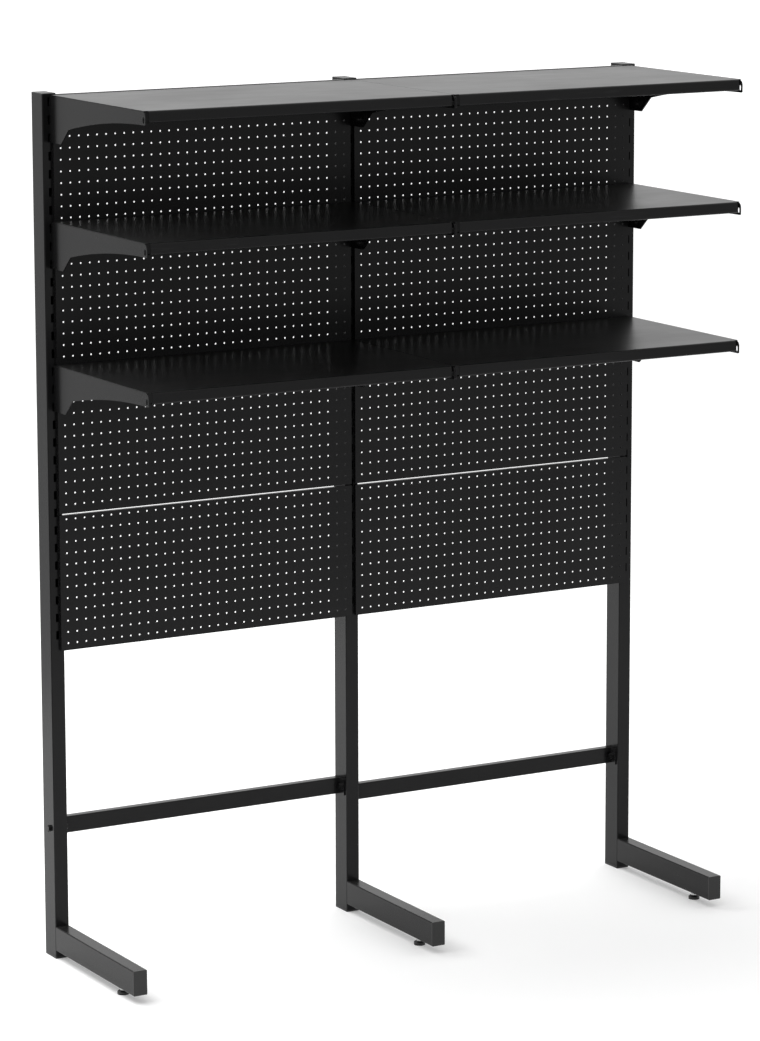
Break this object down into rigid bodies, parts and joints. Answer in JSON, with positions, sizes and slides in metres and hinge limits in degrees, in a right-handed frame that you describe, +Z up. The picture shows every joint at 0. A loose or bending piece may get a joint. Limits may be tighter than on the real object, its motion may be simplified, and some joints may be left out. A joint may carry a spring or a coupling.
{
  "type": "pegboard tool wall",
  "caption": "Free-standing black steel tool wall: perforated panels on slotted uprights with forward feet, and shelves on hooked brackets.",
  "frame": {"origin": "on the floor, under the middle of the outer box; the middle upright stands at X = 0", "axes": "+X to the right as seen from the front, +Y to the back, +Z up"},
  "size_m": [1.5396, 0.5264, 1.942],
  "materials": {
    "black_steel": "glossy black powder coat",
    "black_plastic": "satin",
    "zinc_steel": "zinc plated"
  },
  "bodies": {
    "frame": {"upright_left": "black_steel", "upright_middle": "black_steel", "upright_right": "black_steel", "top_cap_left": "black_plastic", "top_cap_middle": "black_plastic", "top_cap_right": "black_plastic", "heel_plug_left": "black_plastic", "heel_plug_middle": "black_plastic", "heel_plug_right": "black_plastic", "foot_left": "black_steel", "foot_middle": "black_steel", "foot_right": "black_steel", "toe_cap_left": "black_plastic", "toe_cap_middle": "black_plastic", "toe_cap_right": "black_plastic", "glide_inserts": "zinc_steel", "foot_bolts": "zinc_steel", "low_rail_left": "black_steel", "low_rail_right": "black_steel", "top_rail_left": "black_steel", "top_rail_right": "black_steel", "rail_bolts": "black_steel", "rail_nuts": "black_steel", "rail_screws": "black_steel", "rail_inserts": "zinc_steel", "upper_panel_left": "black_steel", "upper_panel_right": "black_steel", "lower_panel_left": "black_steel", "lower_panel_right": "black_steel"},
    "brackets_top_left": {"bracket_top_left_a": "black_steel", "bracket_top_left_b": "black_steel"},
    "shelf_top_left_sheet": {"shelf_top_left": "black_steel"},
    "brackets_top_right": {"bracket_top_right_a": "black_steel", "bracket_top_right_b": "black_steel"},
    "shelf_top_right_sheet": {"shelf_top_right": "black_steel"},
    "brackets_middle_left": {"bracket_middle_left_a": "black_steel", "bracket_middle_left_b": "black_steel"},
    "shelf_middle_left_sheet": {"shelf_middle_left": "black_steel"},
    "brackets_middle_right": {"bracket_middle_right_a": "black_steel", "bracket_middle_right_b": "black_steel"},
    "shelf_middle_right_sheet": {"shelf_middle_right": "black_steel"},
    "brackets_low_left": {"bracket_low_left_a": "black_steel", "bracket_low_left_b": "black_steel"},
    "shelf_low_left_sheet": {"shelf_low_left": "black_steel"},
    "brackets_low_right": {"bracket_low_right_a": "black_steel", "bracket_low_right_b": "black_steel"},
    "shelf_low_right_sheet": {"shelf_low_right": "black_steel"},
    "glide_left": {"glide_pad_left": "black_plastic", "glide_stud_left": "zinc_steel"},
    "glide_middle": {"glide_pad_middle": "black_plastic", "glide_stud_middle": "zinc_steel"},
    "glide_right": {"glide_pad_right": "black_plastic", "glide_stud_right": "zinc_steel"}
  },
  "joints": [
    {"name": "unhook_top_left", "type": "slide", "parent": "frame", "child": "brackets_top_left", "axis": [0, 0, 1], "range_m": [0, 0.008]},
    {"name": "lift_shelf_top_left", "type": "slide", "parent": "brackets_top_left", "child": "shelf_top_left_sheet", "axis": [0, 0, 1], "range_m": [0, 0.04]},
    {"name": "unhook_top_right", "type": "slide", "parent": "frame", "child": "brackets_top_right", "axis": [0, 0, 1], "range_m": [0, 0.008]},
    {"name": "lift_shelf_top_right", "type": "slide", "parent": "brackets_top_right", "child": "shelf_top_right_sheet", "axis": [0, 0, 1], "range_m": [0, 0.04]},
    {"name": "unhook_middle_left", "type": "slide", "parent": "frame", "child": "brackets_middle_left", "axis": [0, 0, 1], "range_m": [0, 0.008]},
    {"name": "lift_shelf_middle_left", "type": "slide", "parent": "brackets_middle_left", "child": "shelf_middle_left_sheet", "axis": [0, 0, 1], "range_m": [0, 0.04]},
    {"name": "unhook_middle_right", "type": "slide", "parent": "frame", "child": "brackets_middle_right", "axis": [0, 0, 1], "range_m": [0, 0.008]},
    {"name": "lift_shelf_middle_right", "type": "slide", "parent": "brackets_middle_right", "child": "shelf_middle_right_sheet", "axis": [0, 0, 1], "range_m": [0, 0.04]},
    {"name": "unhook_low_left", "type": "slide", "parent": "frame", "child": "brackets_low_left", "axis": [0, 0, 1], "range_m": [0, 0.008]},
    {"name": "lift_shelf_low_left", "type": "slide", "parent": "brackets_low_left", "child": "shelf_low_left_sheet", "axis": [0, 0, 1], "range_m": [0, 0.04]},
    {"name": "unhook_low_right", "type": "slide", "parent": "frame", "child": "brackets_low_right", "axis": [0, 0, 1], "range_m": [0, 0.008]},
    {"name": "lift_shelf_low_right", "type": "slide", "parent": "brackets_low_right", "child": "shelf_low_right_sheet", "axis": [0, 0, 1], "range_m": [0, 0.04]},
    {"name": "glide_turn_left", "type": "hinge", "parent": "frame", "child": "glide_left", "pos_m": [-0.748, -0.10515, 0.02], "axis": [0, 0, -1], "continuous": true},
    {"name": "glide_turn_middle", "type": "hinge", "parent": "frame", "child": "glide_middle", "pos_m": [0, -0.10515, 0.02], "axis": [0, 0, -1], "continuous": true},
    {"name": "glide_turn_right", "type": "hinge", "parent": "frame", "child": "glide_right", "pos_m": [0.748, -0.10515, 0.02], "axis": [0, 0, -1], "continuous": true}
  ]
}
